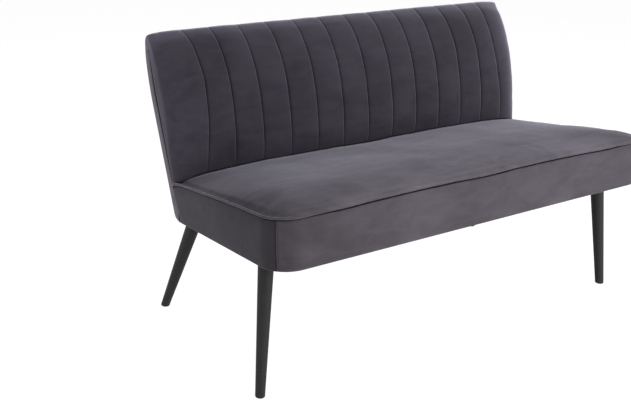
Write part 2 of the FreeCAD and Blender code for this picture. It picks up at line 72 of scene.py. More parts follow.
def fromPipingPlane(points):  # X across, Y along the plane of the piping, Z above it
    points = np.asarray(points, float)
    y = points[..., 1] * fallCos + points[..., 2] * fallSin
    z = borderHeight - points[..., 1] * fallSin + points[..., 2] * fallCos
    return np.stack([points[..., 0], y, z], -1)


def pipingHeight(y):
    return borderHeight - y * fallSin / fallCos


def backFront(z, depth):  # Y of the plane this far in front of the straight rear face
    return bench["seatDepth"] - depth / leanCos + z * leanSin / leanCos


def planePoint(along, depth):  # side view, up the straight rear face and forward of it
    return np.stack([bench["seatDepth"] + along * leanSin - depth * leanCos,
                     along * leanCos + depth * leanSin], -1)


def backPoint(along, depth):  # the same, following the bend of the rear face
    along = np.asarray(along, float)
    depth = np.asarray(depth, float) + 0 * along
    turn = np.maximum(0, along - bench["backStraight"]) / bench["bendRadius"]
    lean = math.radians(bench["backLean"]) - turn
    centre = planePoint(np.float64(bench["backStraight"]), np.float64(bench["bendRadius"]))
    reach = bench["bendRadius"] - depth
    bent = centre + np.stack([np.cos(lean) * reach, -np.sin(lean) * reach], -1)
    return np.where((along <= bench["backStraight"])[..., None], planePoint(along, depth), bent)


def levelPoint(depth, lift):  # this far in front of the rear face and above the piping's plane
    start = backFront(0, depth)
    slope = fallSin / fallCos
    z = (borderHeight + lift / fallCos - slope * start) / (1 + slope * leanSin / leanCos)
    return np.array([backFront(z, depth), z])


def lineLengths(points):
    steps = np.linalg.norm(np.diff(points, axis=0), axis=1)
    return np.concatenate([[0], np.cumsum(steps)])


def evenly(points, count):  # points at even steps of a line's length
    lengths = lineLengths(points)
    wanted = np.linspace(0, 1, count) * lengths[-1]
    return np.stack([np.interp(wanted, lengths, points[:, k]) for k in range(points.shape[1])], -1)


def smoothLine(points, steps):  # dense smooth line through a few points
    knots = np.concatenate([[0], np.cumsum(np.linalg.norm(np.diff(points, axis=0), axis=1) ** 0.5)])
    slopes = np.gradient(points, knots, axis=0)
    t = np.linspace(0, 1, steps, endpoint=False)[:, None]
    lines = []
    for k in range(len(points) - 1):
        span = knots[k + 1] - knots[k]
        ends = (2 * t ** 3 - 3 * t ** 2 + 1) * points[k] + (3 * t ** 2 - 2 * t ** 3) * points[k + 1]
        turns = (t ** 3 - 2 * t ** 2 + t) * slopes[k] + (t ** 3 - t ** 2) * slopes[k + 1]
        lines.append(ends + span * turns)
    return np.concatenate(lines + [points[-1:]])


def lineNormals(points):  # to the left of a line in the side view
    tangent = np.gradient(points, axis=0)
    tangent /= np.linalg.norm(tangent, axis=1, keepdims=True)
    return np.stack([-tangent[:, 1], tangent[:, 0]], -1)


def sideLine(x, points):  # a line of the side view, set at this place across the bench
    return np.column_stack([np.broadcast_to(x, len(points)), points])


def ramp(values, start, reach):  # from 0 at the start to 1 a reach further on
    return np.clip((values - start) / reach, 0, 1)


def eased(share):  # the same from 0 to 1, with a soft start and end
    share = np.clip(share, 0, 1)
    return share * share * (3 - 2 * share)


def bell(values, centre, width):
    return np.exp(-((values - centre) / width) ** 2)


def easedBetween(places, knots, values):  # smooth steps from each value to the next
    knots, values = np.asarray(knots), np.asarray(values)
    k = np.clip(np.searchsorted(knots, places, side="right") - 1, 0, len(knots) - 2)
    return values[k] + (values[k + 1] - values[k]) * eased((places - knots[k]) / (knots[k + 1] - knots[k]))


def roundedWidth(places, half, radius):  # half width of a plan outline, this far from its rounded end
    into = np.clip(radius - places, 0, radius)
    return half - radius + np.sqrt(radius ** 2 - into ** 2)


def dipAt(trim, share):  # how far a cover dips in just before its seam
    return trim["dip"] * max(0.0, (share - trim["dipStart"]) / (1 - trim["dipStart"])) ** 2


def unevenness(grid, scale, seed):  # smooth noise of about -1 to 1 at each point of a grid
    values = [noise.noise(Vector(p)) for p in grid.reshape(-1, 3) * scale + seed]
    return np.array(values).reshape(grid.shape[:-1])


def rippleOf(grid, waves):  # sum of uneven waves, each with its scale, seed and height
    return sum(unevenness(grid, scale, seed) * height for scale, seed, height in waves)


def ruffle(grid, normals, waves, calmRows, calm=1.0):  # uneven waves on a side view's lines, none at the ends
    rows = np.linspace(0, 1, len(grid))
    calm = ramp(np.minimum(rows, 1 - rows), 0, calmRows)[:, None] * calm
    grid[..., 1:] += normals[:, None, :] * (rippleOf(grid, waves) * calm)[..., None]


def gridNormals(grid):
    across = np.gradient(grid, axis=1)
    along = np.gradient(grid, axis=0)
    normals = np.cross(across, along)
    return normals / np.maximum(np.linalg.norm(normals, axis=-1, keepdims=True), 1e-12)


def gridFaces(rows, columns, start=0, flip=False):
    faces = []
    for r in range(rows - 1):
        for c in range(columns - 1):
            a = start + r * columns + c
            face = (a, a + 1, a + columns + 1, a + columns)
            faces.append(face[::-1] if flip else face)
    return faces


def rimOf(rows, columns):  # indices around the edge of a grid, in order
    rim = list(range(columns))
    rim += [r * columns + columns - 1 for r in range(1, rows)]
    rim += [(rows - 1) * columns + c for c in range(columns - 2, -1, -1)]
    rim += [r * columns for r in range(rows - 2, 0, -1)]
    return rim


def newPiece(name, points, faces, finish):
    mesh = bpy.data.meshes.new(name)
    mesh.from_pydata([tuple(p) for p in points.reshape(-1, 3)], [], faces)
    work = bmesh.new()
    work.from_mesh(mesh)
    bmesh.ops.remove_doubles(work, verts=work.verts, dist=1e-6)
    bmesh.ops.recalc_face_normals(work, faces=work.faces)
    work.to_mesh(mesh)
    work.free()
    mesh.polygons.foreach_set("use_smooth", [True] * len(mesh.polygons))
    mesh.materials.append(finish)
    piece = bpy.data.objects.new(name, mesh)
    bpy.context.collection.objects.link(piece)
    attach(piece, "root")
    return piece


def shellPiece(name, grid, thickness, finish, outward):  # closed cloth of one thickness
    rows, columns = grid.shape[:2]
    normals = gridNormals(grid)
    if np.sum(normals * outward) < 0:
        normals = -normals
    points = np.stack([grid, grid - normals * thickness])
    count = rows * columns
    faces = gridFaces(rows, columns) + gridFaces(rows, columns, count, True)
    rim = rimOf(rows, columns)
    for a, b in zip(rim, rim[1:] + rim[:1]):
        faces.append((b, a, a + count, b + count))
    return newPiece(name, points, faces, finish)


def ringsOf(middle, wide, tall, around):  # rings of points about a line, from their half axes
    wide, tall = np.asarray(wide), np.asarray(tall)
    angles = np.linspace(0, 2 * math.pi, around + 1)
    return np.stack([middle + wide * math.cos(a) + tall * math.sin(a) for a in angles], 1)


def tubePiece(name, grid, finish):  # closed tube from a grid whose last column lies on its first
    rows, columns = grid.shape[:2]
    faces = gridFaces(rows, columns)
    faces.append(tuple(range(columns - 1)))
    faces.append(tuple((rows - 1) * columns + c for c in range(columns - 1)))
    return newPiece(name, toFrame(grid), faces, finish)


# Cloth simulation, without gravity and held along the sewn lines
cloth = {"frames": 20,
         "settings": {"quality": 7, "mass": 0.3, "use_pressure": True, "uniform_pressure_force": 4.0,
                      "tension_stiffness": 40.0, "compression_stiffness": 40.0, "shear_stiffness": 12.0,
                      "bending_stiffness": 0.6, "tension_damping": 18.0, "compression_damping": 18.0}}


def swollen(grid, held, cap):  # how far each point moves out when the filling presses on the cloth
    mesh = bpy.data.meshes.new("cloth_trial")
    mesh.from_pydata([tuple(p) for p in grid.reshape(-1, 3)], [], gridFaces(*grid.shape[:2]))
    trial = bpy.data.objects.new("cloth_trial", mesh)
    bpy.context.collection.objects.link(trial)
    sewn = trial.vertex_groups.new(name="sewn")
    for index, weight in enumerate(held.reshape(-1)):
        sewn.add([index], float(weight), "REPLACE")
    settings = trial.modifiers.new("cloth", "CLOTH").settings
    for key, value in cloth["settings"].items():
        setattr(settings, key, value)
    settings.vertex_group_mass = "sewn"
    settings.effector_weights.gravity = 0
    scene = bpy.context.scene
    before = scene.frame_current
    for step in range(1, cloth["frames"] + 1):
        scene.frame_set(step)
    settled = trial.evaluated_get(bpy.context.evaluated_depsgraph_get())
    moved = np.array([v.co for v in settled.data.vertices]).reshape(grid.shape) - grid
    bpy.data.objects.remove(trial)
    bpy.data.meshes.remove(mesh)
    scene.frame_set(before)
    far = np.linalg.norm(moved, axis=-1, keepdims=True)
    print("cloth moved up to", round(float(far.max()) * 1000, 2), "mm")
    return moved * cap * np.tanh(far / cap) / np.maximum(far, 1e-9)


# Node helpers for the finishes
def feed(node, values):  # gives each socket its value, or the output that drives it
    for socketName, value in values.items():
        if isinstance(value, bpy.types.NodeSocket):
            node.id_data.links.new(value, node.inputs[socketName])
        else:
            node.inputs[socketName].default_value = value
    return node


def newNode(kind, near, values):  # in the same node tree as another node or socket
    return feed(near.id_data.nodes.new("ShaderNode" + kind), values)


def newFinish(name):
    finish = bpy.data.materials.new(name)
    finish.use_nodes = True
    shader = finish.node_tree.nodes["Principled BSDF"]
    return finish, shader, newNode("TexCoord", shader, {}).outputs["Object"]


def stretched(source, scale):
    return newNode("Mapping", source, {"Vector": source, "Scale": scale}).outputs["Vector"]


def noiseOf(source, scale, detail=3.0, roughness=0.5, distortion=0.0):
    values = {"Vector": source, "Scale": scale, "Detail": detail, "Roughness": roughness,
              "Distortion": distortion}
    return newNode("TexNoise", source, values).outputs["Fac"]


def rampOf(source, stops):
    node = newNode("ValToRGB", source, {"Fac": source})
    elements = node.color_ramp.elements
    while len(elements) < len(stops):
        elements.new(0.5)
    for element, (place, colour) in zip(elements, stops):
        element.position = place
        element.color = (*colour, 1)
    return node.outputs["Color"]


def mathOf(operation, first, second):
    node = newNode("Math", first, {0: first, 1: second})
    node.operation = operation
    return node.outputs["Value"]


def mixOf(share, first, second):  # multiplies the first colour by the second, to a share
    node = newNode("Mix", first, {})
    node.data_type = "RGBA"
    node.blend_type = "MULTIPLY"
    return feed(node, {"Factor": share, "A": first, "B": second}).outputs["Result"]


def bumpOf(shader, height, strength, distance, before=None):
    node = newNode("Bump", shader, {"Strength": strength, "Distance": distance, "Height": height})
    if before is not None:
        feed(node, {"Normal": before})
    feed(shader, {"Normal": node.outputs["Normal"]})
    return node.outputs["Normal"]


def between(source, low, high, start=0.0, end=1.0):
    values = {"Value": source, "From Min": start, "From Max": end, "To Min": low, "To Max": high}
    return newNode("MapRange", source, values).outputs["Result"]


# Painted light and shade: each piece shows its own depth of the same grey, lighter or darker for how light
# falls on it, as lit and shaded copies of one velvet
velvetLook = {"colour": (0.0460, 0.0408, 0.0480), "roughness": 0.86, "specular": 0.12,
              "sheenRoughness": 0.32, "sheenTint": (0.80, 0.78, 0.95)}
velvetPlaces = {  # paintedLightLifts: painted light and shade along the piece, as axis, its direction or 0 for both, start, end and how much lighter at the end
    "seat": {"depth": 1.18, "sheen": 0.30, "marks": 0.30,
             "paintedLightLifts": (("Y", -1, 0.23, 0.32, 1.34), ("Y", 1, 0.03, 0.15, 0.42), ("X", 0, 0.36, 0.62, 0.72))},
    # The back's low depth, lifts and bluer tint are painted shade, a darker and cooler copy of the same velvet
    "back": {"depth": 0.47, "sheen": 0.95, "marks": 0.26, "paintedShadeTint": (1.0, 0.99, 1.14),
             "paintedLightLifts": (("X", 0, 0.52, 0.635, 1.6), ("Y", 1, 0.272, 0.320, 2.5))},
    "front": {"depth": 1.19, "sheen": 0.42, "marks": 0.20, "paintedLightLifts": (("X", 0, 0.30, 0.60, 0.84),)},
    "side": {"depth": 0.77, "sheen": 0.42, "marks": 0.18, "paintedLightLifts": (("Y", -1, 0.05, 0.28, 0.80),)},
    "rear": {"depth": 1.4, "sheen": 0.9, "marks": 0.22, "paintedLightLifts": (("X", 0, 0.628, 0.6385, 1.42),)},
    "piping": {"depth": 1.15, "sheen": 0.7, "marks": 0.15},
    # tuck: a nearly black copy of the velvet, painted shade for the dark cords and folds set in the seams and
    # creases
    "tuck": {"depth": 0.18, "sheen": 0.0, "marks": 0.1}}


def velvetFinish(place):
    look, pileAndPaintedShade = velvetLook, velvetPlaces[place]
    finish, shader, spot = newFinish("anthracite_velvet_" + place)
    clouds = noiseOf(spot, 6.0, 3.0, 0.55, 0.6)  # where hands have brushed the pile
    strokes = noiseOf(stretched(spot, (11, 34, 34)), 1.0, 2.0, 0.5, 0.9)
    grain = noiseOf(spot, 1400.0, 2.0, 0.6)
    lay = mathOf("ADD", mathOf("MULTIPLY", clouds, 0.6), mathOf("MULTIPLY", strokes, 0.4))
    # each piece's depth and tint paint its light or shade into the same grey
    grey = [c * t * pileAndPaintedShade["depth"] for c, t in zip(look["colour"], pileAndPaintedShade.get("paintedShadeTint", (1.0, 1.0, 1.0)))]
    dark = tuple(c * (1 - pileAndPaintedShade["marks"]) for c in grey)
    light = tuple(c * (1 + pileAndPaintedShade["marks"]) for c in grey)
    colour = rampOf(lay, ((0.34, dark), (0.66, light)))
    apart = newNode("SeparateXYZ", spot, {0: spot})
    for axis, way, start, end, lift in pileAndPaintedShade.get("paintedLightLifts", ()):  # painted light and shade, lighter or darker towards ends, front and rear
        along = mathOf("MULTIPLY" if way else "ABSOLUTE", apart.outputs[axis], float(way))
        colour = mixOf(1.0, colour, between(along, 1.0, lift, start, end))
    feed(shader, {"Base Color": mixOf(1.0, colour, between(grain, 0.82, 1.18)),
                  "Roughness": between(grain, look["roughness"] - 0.08, look["roughness"] + 0.1),
                  "Specular IOR Level": look["specular"], "Sheen Weight": pileAndPaintedShade["sheen"],
                  "Sheen Roughness": look["sheenRoughness"], "Sheen Tint": (*look["sheenTint"], 1)})
    pile = bumpOf(shader, grain, 0.35, 0.0005)
    bumpOf(shader, strokes, 0.10, 0.0015, pile)
    return finish


velvet = {place: velvetFinish(place) for place in velvetPlaces}
print("velvet made")

# Back pad: one padded front with sewn channels, rolled over the top to the rear cover
pad = {"overFrame": 0.034, "depth": 0.122, "baseDepth": 0.064, "lift": 0.0037, "rows": 120, "lineSteps": 40,
       "heightShares": (0.34, 0.51, 0.71, 0.885, 0.955, 0.997, 0.986),
       "depthShares": (0.785, 0.945, 0.995, 0.83, 0.65, 0.46, 0.275),
       "swellShares": (0.3, 0.9, 1.0, 1.0, 1.0, 1.0, 0.9, 0.5, 0.0),
       "seamShares": (0.6, 1.0, 1.0, 1.0, 0.75, 0.42, 0.14, 0.03, 0.0),
       "endDrawShares": (0.45, 0.95, 1.0, 1.0, 0.68, 0.42, 0.14, 0.05, 0.0),
       "bowShares": (0.0, 0.35, 0.75, 1.0, 0.8, 0.6, 0.4, 0.3, 0.2),
       "cornerShares": (0.0, 0.0, 0.0, 0.0, 0.0, 0.1, 0.4, 0.85, 1.0),
       "channels": 12, "swell": 0.0060, "calmSwell": 0.85, "archShare": 0.62, "seamWidth": 0.0028,
       "groove": 0.0024, "grooveWidth": 0.0020,
       "endWidth": 0.087, "endDraw": 0.062, "endPower": 2.0, "bow": 0.022, "bowReach": 0.075, "corner": 0.0075,
       "ripples": ((11.0, 3.1, 0.0009), (32.0, 7.7, 0.0004)), "calmRows": 0.06,
       "sideSeam": 0.0328, "floor": 0.0282, "seamFoot": 0.16, "dip": 0.0095, "dipStart": 0.86,
       "baseDrop": 0.0065, "baseRows": 0.07, "basePower": 1.5, "baseEnds": (0.54, 0.06), "baseLeast": 0.25,
       "steps": (0.0, 0.0008, 0.0018, 0.0031, 0.005, 0.0078, 0.0118, 0.0175, 0.0255, 0.036),
       "endSteps": (0.047, 0.056, 0.0635, 0.0695, 0.0745, 0.0785, 0.0815, 0.0838, 0.0854, 0.0864),
       "capSteps": (0.06, 0.15, 0.27, 0.40, 0.53, 0.66, 0.77, 0.86, 0.9, 0.935, 0.965, 0.985, 1.0)}


def padSide():  # side view at a seam: points, normals and the share of the line at each given point
    height = bench["backLength"] + pad["overFrame"]
    heights = np.array(pad["heightShares"]) * height
    points = [levelPoint(pad["baseDepth"], pad["lift"])]
    points += list(planePoint(heights, np.array(pad["depthShares"]) * pad["depth"]))
    points.append(backPoint(bench["backLength"], 0.0))
    dense = smoothLine(np.array(points), pad["lineSteps"])
    outline = evenly(dense, pad["rows"])
    lengths = lineLengths(dense)
    return outline, lineNormals(outline), lengths[::pad["lineSteps"]] / lengths[-1]


def padColumns():  # places across the bench, and each one's distance to the seam and share of its channel
    first = halfWidth - pad["endWidth"]
    pitch = 2 * first / pad["channels"]
    steps = list(pad["steps"]) + [pitch / 2] + [pitch - d for d in pad["steps"][:0:-1]]
    places = []
    for k in range(pad["channels"]):
        places += [(-first + k * pitch + d, min(d, pitch - d), d / pitch) for d in steps]
    places.append((first, 0.0, 0.0))
    ends = list(pad["steps"][1:]) + list(pad["endSteps"]) + [pad["endWidth"]]
    right = [(first + d, d, min(0.5, d / pad["endWidth"])) for d in ends]
    left = [(-x, d, share) for x, d, share in right[::-1]]
    return left + places + right


def padFront(outline, normals, knots):  # the channelled front, from its foot over the top to the rear
    rowShares = np.linspace(0, 1, pad["rows"])
    share = {key: np.interp(rowShares, knots, pad[key + "Shares"])
             for key in ("swell", "seam", "endDraw", "bow", "corner")}
    columns = padColumns()
    grid = np.zeros((pad["rows"], len(columns), 3))
    for c, (x, gap, across) in enumerate(columns):
        relief = pad["archShare"] * (1 - (1 - 2 * across) ** 2)
        relief += (1 - pad["archShare"]) * (1 - math.exp(-gap / pad["seamWidth"]))
        relief -= pad["groove"] / pad["swell"] * math.exp(-gap / pad["grooveWidth"])
        out = pad["swell"] * share["swell"] * (relief * share["seam"] + pad["calmSwell"] * (1 - share["seam"]))
        toEnd = halfWidth - abs(x)
        reach = min(1.0, max(0.0, 1 - toEnd / pad["endWidth"])) ** pad["endPower"]
        out = out - pad["endDraw"] * share["endDraw"] * (1 - (1 - reach) ** (1 / pad["endPower"]))
        inside = toEnd - pad["endWidth"]
        bowing = bell(inside, 0, pad["bowReach"]) if inside > 0 else toEnd / pad["endWidth"]
        grid[:, c, 0] = x - math.copysign(pad["bow"], x) * share["bow"] * bowing
        grid[:, c, 1:] = outline + normals * out[:, None]
        turned = max(0.0, 1 - toEnd / pad["corner"])  # rounded like the rear cover's edge below it
        grid[:, c, 1] -= pad["corner"] * share["corner"] * (1 - math.sqrt(1 - turned ** 2))
    ruffle(grid, normals, pad["ripples"], pad["calmRows"])
    return grid


def padCap(side, edge):  # end of the pad, from its front edge into the groove beside the rear cover
    up = np.linspace(pad["seamFoot"], bench["backLength"], bench["curveSteps"])
    inner, floor = [evenly(np.vstack([levelPoint(depth, pad["lift"]), backPoint(up, depth)]), pad["rows"])
                    for depth in (pad["sideSeam"], pad["floor"])]
    lines = []
    for v in pad["capSteps"]:
        lines.append(sideLine(side * (halfWidth - dipAt(pad, v)), edge[:, 1:] * (1 - v) + inner * v))
    lines.append(sideLine(lines[-1][:, 0], floor))
    return np.stack(lines if side > 0 else lines[::-1], 1)


def makeBackPad():
    grid = padFront(*padSide())
    full = np.concatenate([padCap(-1, grid[:, 0]), grid, padCap(1, grid[:, -1])], 1)
    rows, wide = full.shape[:2]
    low = np.clip(1 - np.linspace(0, 1, rows) / pad["baseRows"], 0, 1)[:, None] ** pad["basePower"]
    nearEnd = np.maximum(ramp(np.abs(full[..., 0]), *pad["baseEnds"]), pad["baseLeast"])
    full[..., 2] -= low * pad["baseDrop"] * nearEnd
    faces = gridFaces(rows, wide)
    faces.append(tuple(range(wide)))
    faces.append(tuple((rows - 1) * wide + c for c in range(wide)))
    for r in range(rows - 1):
        faces.append((r * wide, (r + 1) * wide, (r + 2) * wide - 1, (r + 1) * wide - 1))
    piece = newPiece("back_pad", toFrame(full), faces, velvet["back"])
    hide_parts("back_cover", "back_foam")
    return piece


backPad = makeBackPad()
print("back pad made:", len(backPad.data.vertices), "points")

# Border panels round the seat: front with a corner seam at each end, and the two sides
border = {"rows": 30, "frontSeed": 2.0, "sideSeed": 6.0, "thickness": 0.002, "step": 0.007, "rollSteps": 7,
          "rowPower": 1.7, "bulge": 0.0026, "bulgePower": 0.8, "roll": 0.004, "turnUnder": 0.0105,
          "under": -0.0009, "tuck": 0.0060, "frontTuck": 0.0055, "groove": 0.0034, "groovePower": 16,
          "frontEnd": 0.055, "frontEase": 0.10, "frontBlend": 0.2,
          "dropPlaces": (0.0, 0.13, 0.24, 0.35, 0.46, 0.57, 0.634, 0.70, 0.78, 0.88),
          "drops": (0.0075, 0.0045, 0.0044, 0.0058, 0.0086, 0.0066, 0.0060, 0.0036, 0.0010, 0.0),
          "seamTurn": 52.0, "seamDepth": 0.0029, "seamWidth": 0.0020, "sideSeamWidth": 0.0060,
          "seamFoot": 0.05, "seamTop": (0.88, 0.06), "seamTopShare": 0.9,
          "seamSteps": (0, 0.0008, 0.0018, 0.0032, 0.0052, 0.0080, 0.0120), "seamClear": 14,
          "cornerSteps": (9, 7), "ridge": 0.0016, "ridgeBell": (0.0065, 0.003), "seamFree": 0.014,
          "slackScale": 10.0, "slack": 0.0009, "puckerScale": 48.0, "pucker": 0.0015,
          "puckerStretch": (1, 1, 0.25), "puckerStart": (0.72, 0.2), "puckerPower": 1.5, "puckerEnd": 0.06,
          "sideSteps": 56, "rearSteps": (0.989, 0.994, 0.998, 1.0), "sideMiddle": 0.06, "sideFall": 0.012,
          "rearSeam": 0.0322, "rearFloor": 0.0283, "rearHeight": 0.1, "rearDrop": 0.005, "rearDropReach": 0.055,
          "footClosing": 0.0056, "footReach": 0.05, "footDepth": 0.0266}


def rearDropAt(y):  # the piping dips where it runs under the back pad
    end = backFront(border["rearHeight"], border["rearSeam"])
    return border["rearDrop"] * ramp(y, end - border["rearDropReach"], border["rearDropReach"]) ** 2


def alongFront(x, y):  # 1 along the front, easing to 0 before the corner seams
    inside = halfWidth - border["frontEnd"] - np.abs(x)
    return eased(inside / border["frontEase"]) * (np.asarray(y) < cornerRadius)


def seamDropAt(x, y):  # the sewn edge is drawn down at the front corners and wanders along the front
    def dropAt(along):
        return easedBetween(along, border["dropPlaces"], border["drops"])

    x = np.abs(np.asarray(x, float))
    y = np.asarray(y, float) + 0 * x
    overX, overY = x - straight, cornerRadius - y
    arc = cornerRadius * np.arctan2(np.maximum(overX, 1e-9), np.maximum(overY, 1e-9))
    frontDrop = dropAt(np.minimum(x, straight))
    sideDrop = dropAt(straight + cornerRadius * math.pi / 2 + np.maximum(-overY, 0))
    nearFront = np.clip(0.5 + (halfWidth - x - y) / border["frontBlend"], 0, 1)
    drop = np.where(overX > 0, np.where(overY > 0, dropAt(straight + arc), sideDrop), frontDrop)
    return np.where((overX <= 0) & (overY <= 0), frontDrop * nearFront + sideDrop * (1 - nearFront), drop)


# Seat top: crowned cushion with a sewn flange along the piping
seat = {"inset": 0.003, "depth": 0.511, "step": 0.009, "cornerSteps": 20, "rollSteps": 9,
        "crown": 0.0243, "reach": 0.115, "backReach": 0.31, "backBlend": (0.14, 0.26),
        "dome": 0.002, "domeMiddle": 0.55, "rollEnd": 0.4848, "rearReach": 0.0095, "rearRadius": 0.006,
        "underPad": (-0.006, 0.012), "underPadShare": 0.75,
        "flange": 0.011, "frontFlange": 0.0022, "flangeRise": 0.0034, "start": -0.0014, "frontStart": 0.0012,
        "frontBlend": 0.12, "overhang": 0.0045, "overhangBell": (0.011, 0.007), "overhangReach": 0.02,
        "ripples": ((9.0, 1.7, 0.0014), (28.0, 4.2, 0.0005)), "rippleReach": 0.03,
        "puckers": ((55.0, 9.3, 0.0011),), "puckerWidth": 0.010, "rearDropReach": 0.03, "seamDropReach": 0.04,
        "held": (0.002, 0.012), "heldRear": 0.004, "swellCap": 0.006,
        "edgeSteps": (0, 0.0015, 0.0032, 0.0052, 0.0075, 0.0102, 0.0135, 0.0175, 0.0225, 0.0285, 0.036, 0.045,
                      0.0555, 0.0675, 0.081)}
rollStart = seat["rollEnd"] - seat["rearReach"]


def roundedDistance(x, y, half, depth, frontRadius, rearRadius):  # how far inside a rounded plan outline
    radius = np.where(y < depth / 2, frontRadius, rearRadius)
    overX = np.abs(x) - (half - radius)
    overY = np.abs(y - depth / 2) - (depth / 2 - radius)
    outside = np.hypot(np.maximum(overX, 0), np.maximum(overY, 0))
    return np.maximum(0, radius - outside - np.minimum(np.maximum(overX, overY), 0))


def seatPlan(half, frontRadius):  # rows from the front to under the pad, with columns closer at the edges
    depth, rearRadius, step = seat["depth"], seat["rearRadius"], seat["step"]
    turn = np.radians(np.linspace(0, 90, seat["cornerSteps"]))
    rollTurn = np.radians(np.linspace(0, 90, seat["rollSteps"]))
    rowPlaces = np.concatenate([frontRadius * (1 - np.cos(turn)),
                                np.arange(frontRadius + step, rollStart - step / 2, step),
                                seat["rollEnd"] - seat["rearReach"] * (1 - np.sin(rollTurn)),
                                [0.5 * (seat["rollEnd"] + depth), depth - rearRadius],
                                depth - rearRadius * (1 - np.cos(turn[::-1]))[1:]])
    wide = roundedWidth(rowPlaces, half, frontRadius)
    wide = np.minimum(wide, roundedWidth(depth - rowPlaces, half, rearRadius))
    edge = np.array(seat["edgeSteps"])
    flat = half - edge[-1]
    inside = np.linspace(-flat, flat, int(2 * flat / step))[1:-1]
    across = np.concatenate([-half + edge, inside, (half - edge)[::-1]]) / half
    return rowPlaces, across[None, :] * wide[:, None], np.repeat(rowPlaces[:, None], len(across), 1)


def makeSeatTop():
    half, depth = halfWidth - seat["inset"], seat["depth"]
    frontRadius = cornerRadius - seat["inset"]
    rowPlaces, x, y = seatPlan(half, frontRadius)
    gap = roundedDistance(x, y, half, depth, frontRadius, seat["rearRadius"])
    sideGap = roundedDistance(x, y, half, 2 * depth, frontRadius, frontRadius)
    atFront = np.clip(0.5 + (half - np.abs(x) - y) / seat["frontBlend"], 0, 1)
    flangeWidth = seat["flange"] + (seat["frontFlange"] - seat["flange"]) * eased(atFront)
    reach = seat["reach"] + (seat["backReach"] - seat["reach"]) * eased(ramp(y, *seat["backBlend"]))
    rise = ramp(sideGap, flangeWidth, reach)
    rearRise = ramp(seat["rollEnd"] - y, 0, seat["rearReach"])
    roll = np.sqrt(1 - (1 - rise) ** 2) * np.sqrt(1 - (1 - rearRise) ** 2)
    start = seat["start"] + (seat["frontStart"] - seat["start"]) * alongFront(x, y)
    flange = 1 - (1 - ramp(gap, 0, flangeWidth)) ** 2
    flange = flange * (1 - seat["underPadShare"] * ramp(y - seat["rollEnd"], *seat["underPad"]))
    domeShape = np.clip(1 - (y / (depth * seat["domeMiddle"]) - 1) ** 2, 0, 1) * (1 - (x / half) ** 2)
    z = start + (seat["flangeRise"] - start) * flange
    z = z + (seat["crown"] - seat["flangeRise"] + seat["dome"] * domeShape) * roll
    grid = np.stack([x, y, z], -1)
    plan = grid * (1, 1, 0)
    grid[..., 2] += rippleOf(plan, seat["ripples"]) * ramp(gap, 0, seat["rippleReach"])
    grid[..., 2] += rippleOf(plan, seat["puckers"]) * bell(gap, flangeWidth, seat["puckerWidth"])
    grid[..., 2] -= rearDropAt(y) * np.exp(-gap / seat["rearDropReach"])
    grid[..., 2] -= seamDropAt(x, y) * np.exp(-gap / seat["seamDropReach"])
    nearEdge = atFront * np.exp(-gap / seat["overhangReach"])
    grid[..., 1] -= seat["overhang"] * nearEdge * bell(z, *seat["overhangBell"])
    held = 1 - ramp(np.minimum(sideGap - flangeWidth, rollStart + seat["heldRear"] - y), *seat["held"])
    grid = grid + swollen(grid, held, seat["swellCap"])
    rows, columns = grid.shape[:2]
    faces = gridFaces(rows, columns)
    faces.append(tuple(rimOf(rows, columns)))
    piece = newPiece("seat_top", toFrame(fromPipingPlane(grid)), faces, velvet["seat"])
    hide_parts("seat_cover", "seat_foam")
    return piece, grid[np.argmin(np.abs(rowPlaces - rollStart))]


fold = {"radius": 0.0040, "behind": 0.0066, "rise": 0.0014, "endGap": 0.012, "endReach": 0.05, "endShare": 0.35,
        "around": 12, "points": 220}


def makeCreaseShadeFold(crest):  # cloth folded in behind the crest of the seat, against the pad, in nearly black velvet as painted shade of the crease
    end = halfWidth - fold["endGap"]
    path = evenly(crest[np.abs(crest[:, 0]) < end], fold["points"])
    slim = np.clip((end - np.abs(path[:, 0])) / fold["endReach"], fold["endShare"], 1)
    radius = fold["radius"]
    path[:, 1] += fold["behind"]
    path[:, 2] += slim * fold["rise"] - (1 - slim) * radius
    rings = ringsOf(path, (0, radius, 0), np.outer(slim, (0, 0, radius)), fold["around"])
    tubePiece("seat_back_fold_painted_shade", fromPipingPlane(rings), velvet["tuck"])


seatTop, seatCrest = makeSeatTop()
makeCreaseShadeFold(seatCrest)
print("seat top made:", len(seatTop.data.vertices), "points")


def borderRelief(grid, gaps, seed, seamWidth, ridge):  # how far seams, slack and puckers move the cloth out
    tall = ramp(grid[..., 2], 0, borderHeight)
    seam = ridge * bell(gaps, *border["ridgeBell"]) - border["seamDepth"] * np.exp(-gaps / seamWidth)
    seam = seam * ramp(tall, 0, border["seamFoot"])
    seam = seam * (1 - border["seamTopShare"] * ramp(tall, *border["seamTop"]))
    slack = unevenness(grid, border["slackScale"], seed) * border["slack"] * np.sin(np.pi * tall)
    high = ramp(tall, *border["puckerStart"]) ** border["puckerPower"]
    high = high * ramp(1 - tall, 0, border["puckerEnd"])
    pucker = unevenness(grid * border["puckerStretch"], border["puckerScale"], seed + 5) * border["pucker"]
    return seam + (slack + pucker * high) * ramp(gaps, 0, border["seamFree"])


